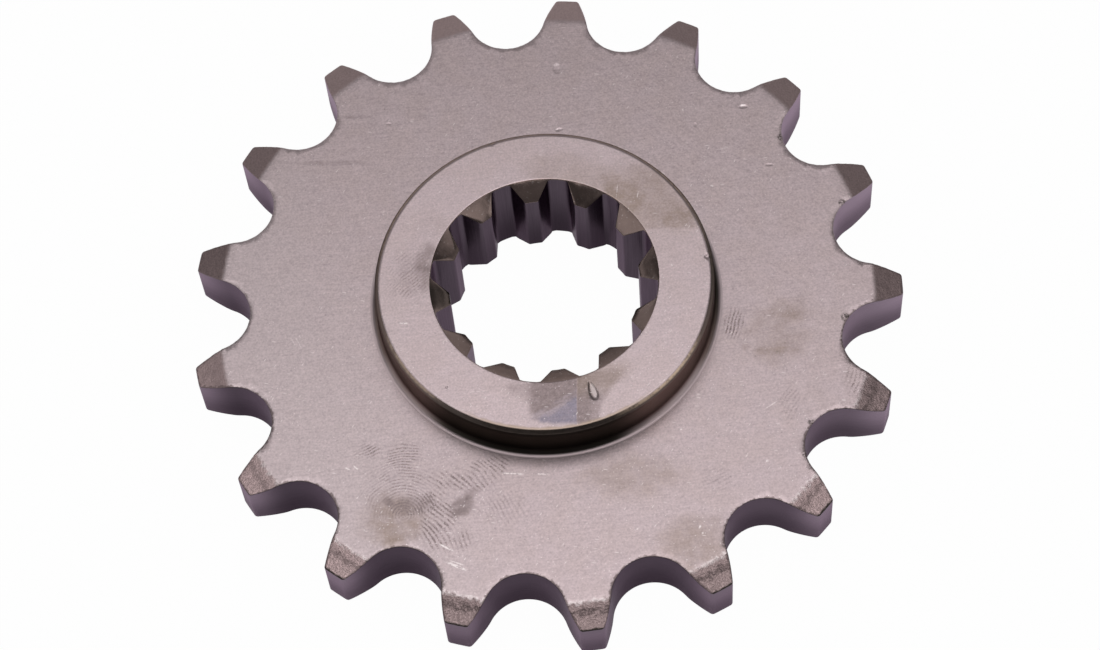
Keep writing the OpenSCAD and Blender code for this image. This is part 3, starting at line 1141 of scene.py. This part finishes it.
def turned_finish(look, s):
    """Dark turned steel of the hub's side, finely lined. Painted light and shade: paler at its flanks and on
    its chamfer, most on the far side, painted reflections of the panels on two stretches of its edge and
    foot, a thin painted highlight at its foot, and painted shade low down.
    """
    finish = Finish("turned_hub_steel")
    lined = finish.grain(0.1, 2.0, (40.0, 40.0, 1.0))
    cloud = finish.grain(2.4, 3.0)
    chipped = finish.rise(finish.grain(0.5, 3.0), 0.25, 0.60)
    facing = finish.towards(HUB_FRONT)
    # Painted light: the hub's side is paler at its flanks.
    flanks = finish.rise(facing, -0.1, 0.3) * finish.fall(facing, 0.72, 0.90)
    # Painted reflections of the side panels, on two stretches of the chamfer and the foot.
    bare = finish.rise(finish.towards(REFLECTION_RIGHT), 0.92, 0.985)
    bare = bare + 0.45 * finish.rise(finish.towards(REFLECTION_LEFT), 0.95, 0.99)
    far = finish.fall(finish.towards(NEAR_WORN_SIDE), -0.75, 0.0)
    low = s.hub_top - s.hub_chamfer
    rim = finish.rise(finish.z, low - 0.1, low + 0.1)
    tint = finish.blend(flanks * (1 - rim * 0.6), look.turned, look.cone)
    # Painted highlights at the foot: broad where the panels reflect, and a thin bright line along the
    # fillet's lower end.
    tint = finish.blend(finish.fall(finish.z, s.disc_h + 0.3, s.disc_h + 0.8) * bare * 0.5, tint, look.ground)
    tint = finish.blend(finish.fall(finish.z, s.disc_h, s.disc_h + 0.18) * 0.8, tint, look.ground)
    # Painted light on the chamfer, strongest on the far side, and on its crown the painted reflection colour,
    # on the far side and where the panels reflect.
    tint = finish.blend(rim * (0.22 + 0.78 * far) * (0.55 + 0.45 * chipped), tint, look.cone)
    bare = finish.most(bare, far * 0.4)
    crown = finish.rise(finish.z, low + 0.10, low + 0.28)
    tint = finish.blend(crown * bare * (0.25 + 0.75 * chipped), tint, look.bare_edge_and_reflection)
    # Painted shade: the side is darker towards its foot.
    upper = finish.rise(finish.z, s.disc_h + 0.5, low)
    return finish.set(
        Base_Color=finish.shaded(tint, 0.65 + 0.24 * lined + 0.36 * cloud + 0.40 * upper),
        Specular_Tint=look.flat_brown,
        Roughness=0.30 + 0.14 * cloud,
        Normal=finish.bump(lined, 0.012))


def broached_finish(look, s):
    """Broached steel of the grooves, streaked along the bore. The far side has painted shade, deepest on the
    groove flanks and low down, and is painted paler high up.
    """
    finish = Finish("broached_steel")
    streaks = finish.grain(0.16, 2.0, (1.0, 1.0, 40.0))
    cloud = finish.grain(2.0, 3.0)
    ridge_r = s.minor_d / 2
    floor_r = s.major_d / 2
    flank = finish.rise(finish.radius, ridge_r + 0.15, ridge_r + 0.5)
    flank = flank * finish.fall(finish.radius, floor_r - 0.5, floor_r - 0.1)
    far = finish.fall(finish.along(NEAR_WORN_SIDE), -13.0, -7.0)
    upper = finish.rise(finish.z, 1.5, 12.0)
    # Painted shade for the shadowed floor that the grooves mirror on the far side.
    clean = (1 - far * (0.25 + 0.60 * flank)) * (1 + (0.05 + 0.95 * far) * (1.05 * upper - 0.55))
    return finish.set(
        Base_Color=finish.shaded(look.broached, (0.55 + 0.62 * streaks + 0.26 * cloud) * clean),
        Specular_Tint=look.edge,
        Roughness=0.26 + 0.12 * cloud,
        Normal=finish.bump(streaks, 0.02))


def cone_finish(look, s):
    """Turned steel of the lead-in cone, with bright specks on its edges."""
    finish = Finish("lead_in_steel")
    lined = finish.sine((finish.radius + (finish.grain(3.0, 1.0) - 0.5) * 0.2) * 40.0)
    cloud = finish.grain(1.1, 3.0)
    speck = finish.rise(finish.grain(0.3, 2.0), 0.62, 0.74)
    tint = finish.blend(speck * 0.25, look.cone, look.scratch)
    tint = finish.blend(finish.spot(CONE_CHIP, 0.6), tint, look.turned)
    # Painted light: the cone is paler on the near side and on the left, and lighter or darker at some ridges.
    near = finish.rise(finish.along(NEAR_WORN_SIDE), 3.0, 9.0)
    left = finish.rise(finish.along((-0.8, -0.6)), 3.0, 9.0)
    tone = 0.72 + 0.05 * lined + 0.5 * cloud + 0.24 * near + 0.6 * left + finish.spots(CONE_SHADES, 0.5)
    return finish.set(
        Base_Color=finish.shaded(tint, tone),
        Roughness=0.14 + 0.10 * cloud + 0.25 * near,
        Normal=finish.bump(cloud, 0.02))


class SPROCKET_OT_steel(bpy.types.Operator):
    """Build the sprocket with its worn steel finishes"""

    bl_idname = "sprocket.steel"
    bl_label = "Sprocket"
    bl_options = {"REGISTER", "UNDO"}

    def execute(self, context):
        s = in_millimetres(context.scene.sprocket_sizes)
        look = in_millimetres(context.scene.sprocket_finish)
        makers = (ground_finish, cut_finish, turned_finish, broached_finish, cone_finish)
        finishes = [make(look, s) for make in makers]
        piece = piece_from(sprocket_skin(s), "sprocket_steel", finishes, s)
        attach(piece, "root")
        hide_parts("sprocket")
        return {"FINISHED"}


def floor_material(tint):
    """Pale floor that is white to the camera, shows in reflections and keeps the object's shadow."""
    material = bpy.data.materials.new("pale_floor")
    material.use_nodes = True
    graph = Graph(material.node_tree)
    shader = graph.tree.nodes["Principled BSDF"]
    graph.feed(shader.inputs["Base Color"], tint)
    graph.feed(shader.inputs["Roughness"], 0.9)
    graph.feed(shader.inputs["Specular IOR Level"], 0.0)
    seen = graph.add("ShaderNodeLightPath", {}, {}, "Is Camera Ray")
    mirrored = graph.add("ShaderNodeLightPath", {}, {}, "Is Glossy Ray")
    through = graph.add("ShaderNodeLightPath", {}, {}, "Is Transmission Ray")
    white = graph.add("ShaderNodeEmission", {}, {"Color": (1.0, 1.0, 1.0), "Strength": 1.0})
    lit = Value(graph, shader.outputs[0])
    whiteness = (seen + through) * FLOOR_SEEN + mirrored * FLOOR_MIRRORED
    shown = graph.add("ShaderNodeMixShader", {}, {0: whiteness, 1: lit, 2: white})
    graph.feed(graph.tree.nodes["Material Output"].inputs["Surface"], shown)
    return material


def light_room(tree, stage):
    """A dim room with a pale horizon, and soft pale panels at both sides and behind."""
    graph = Graph(tree)
    turn = Matrix.Rotation(stage.turn, 3, "Z")
    place = graph.add("ShaderNodeTexCoord", {}, {}, "Generated")

    def towards(direction):
        sockets = {0: place, 1: turn @ Vector(direction).normalized()}
        return graph.add("ShaderNodeVectorMath", {"operation": "DOT_PRODUCT"}, sockets, "Value")

    def panel(direction, reach):
        border = math.cos(math.radians(reach))
        middle = math.cos(math.radians(reach * 0.35))
        return graph.rise(towards(direction), border, middle)

    panels = panel((-0.82, -0.04, 0.57), 25) + panel((0.70, -0.24, 0.66), 25)
    panels = panels + (panel((-0.86, -0.40, 0.32), 24) + panel((0.86, -0.40, 0.32), 24)) * 0.6
    panels = panels + panel((-0.15, 0.76, 0.63), 30) * 0.25
    horizon = graph.fall(graph.add("ShaderNodeSeparateXYZ", {}, {0: place}, "Z"), 0.10, 0.50)
    horizon = horizon * graph.rise(towards((0.0, 1.0, 0.0)), -0.85, -0.30) * 0.6
    tint = graph.blend(graph.most(panels, horizon), stage.room, stage.panels)
    graph.feed(tree.nodes["Background"].inputs["Color"], tint)


def camera_axes(stage):
    """Right, up and look of the camera before its roll, in the part's frame."""
    turn = Matrix.Rotation(stage.turn, 3, "Z")
    right = turn @ Vector((1, 0, 0))
    up = turn @ Vector((0, math.sin(stage.height), math.cos(stage.height)))
    look = turn @ Vector((0, math.cos(stage.height), -math.sin(stage.height)))
    return right, up, look


def add_lamp(name, stage, aside, height, distance, width, depth, watts):
    """A soft rectangular lamp aimed at the hub, turned aside from straight behind, seen from the camera."""
    lamp = bpy.data.lights.new(name, "AREA")
    lamp.shape = "RECTANGLE"
    lamp.size = width
    lamp.size_y = depth
    lamp.energy = watts
    holder = bpy.data.objects.new(name, lamp)
    bpy.context.scene.collection.objects.link(holder)
    around_axis = stage.turn + math.pi / 2 - math.radians(aside)
    lift = math.radians(height)
    flat = math.cos(lift)
    place = Vector((math.cos(around_axis) * flat, math.sin(around_axis) * flat, math.sin(lift)))
    aim = place.to_track_quat("Z", "Y").to_matrix().to_4x4()
    holder.matrix_world = Matrix.Translation(place * distance) @ aim
    return holder


class SPROCKET_OT_stage(bpy.types.Operator):
    """Set up the floor, the studio light and the camera"""

    bl_idname = "sprocket.stage"
    bl_label = "Stage"
    bl_options = {"REGISTER", "UNDO"}

    def execute(self, context):
        scene = context.scene
        stage = scene.sprocket_stage
        scene.view_settings.view_transform = "Standard"

        mesh = bpy.data.meshes.new("floor")
        reach = 3.0
        under = -0.00005
        mesh.from_pydata(
            [(-reach, -reach, under), (reach, -reach, under), (reach, reach, under), (-reach, reach, under)],
            [], [(0, 1, 2, 3)])
        mesh.materials.append(floor_material(stage.floor))
        floor = bpy.data.objects.new("floor", mesh)
        scene.collection.objects.link(floor)

        world = bpy.data.worlds.new("studio")
        world.use_nodes = True
        light_room(world.node_tree, stage)
        scene.world = world
        add_lamp("softbox", stage, 0.0, 86.0, 1.0, 0.80, 0.9, stage.softbox)

        right, up, look = camera_axes(stage)
        camera = bpy.data.objects.new("camera", bpy.data.cameras.new("camera"))
        camera.data.sensor_width = SENSOR
        camera.data.sensor_fit = "HORIZONTAL"
        camera.data.lens = stage.lens
        camera.data.clip_start = 0.01
        scene.collection.objects.link(camera)
        axis_x = math.cos(stage.roll) * right - math.sin(stage.roll) * up
        axis_y = math.sin(stage.roll) * right + math.cos(stage.roll) * up
        facing = Matrix((axis_x, axis_y, -look)).transposed().to_4x4()
        place = right * stage.aside + up * stage.above - look * stage.distance
        camera.matrix_world = Matrix.Translation(place) @ facing
        scene.camera = camera
        return {"FINISHED"}


class SPROCKET_PT_panel(bpy.types.Panel):
    """Sizes, finishes and stage of the sprocket"""

    bl_idname = "SPROCKET_PT_panel"
    bl_label = "Front sprocket"
    bl_space_type = "VIEW_3D"
    bl_region_type = "UI"
    bl_category = "Sprocket"

    def draw(self, context):
        layout = self.layout
        scene = context.scene
        groups = (
            (SPROCKET_OT_steel, (scene.sprocket_sizes, scene.sprocket_finish)),
            (SPROCKET_OT_stage, (scene.sprocket_stage,)),
        )
        for operator, settings in groups:
            box = layout.box()
            box.operator(operator.bl_idname)
            for group in settings:
                for name in group.__annotations__:
                    box.prop(group, name)


CLASSES = (
    SprocketSizes, SprocketFinish, StageSettings,
    SPROCKET_OT_steel, SPROCKET_OT_stage, SPROCKET_PT_panel,
)


def register():
    for cls in CLASSES:
        bpy.utils.register_class(cls)
    bpy.types.Scene.sprocket_sizes = bpy.props.PointerProperty(type=SprocketSizes)
    bpy.types.Scene.sprocket_finish = bpy.props.PointerProperty(type=SprocketFinish)
    bpy.types.Scene.sprocket_stage = bpy.props.PointerProperty(type=StageSettings)


def unregister():
    del bpy.types.Scene.sprocket_stage
    del bpy.types.Scene.sprocket_finish
    del bpy.types.Scene.sprocket_sizes
    for cls in reversed(CLASSES):
        bpy.utils.unregister_class(cls)


def main():
    register()
    bpy.ops.sprocket.steel()
    bpy.ops.sprocket.stage()


if __name__ == "__main__":
    main()
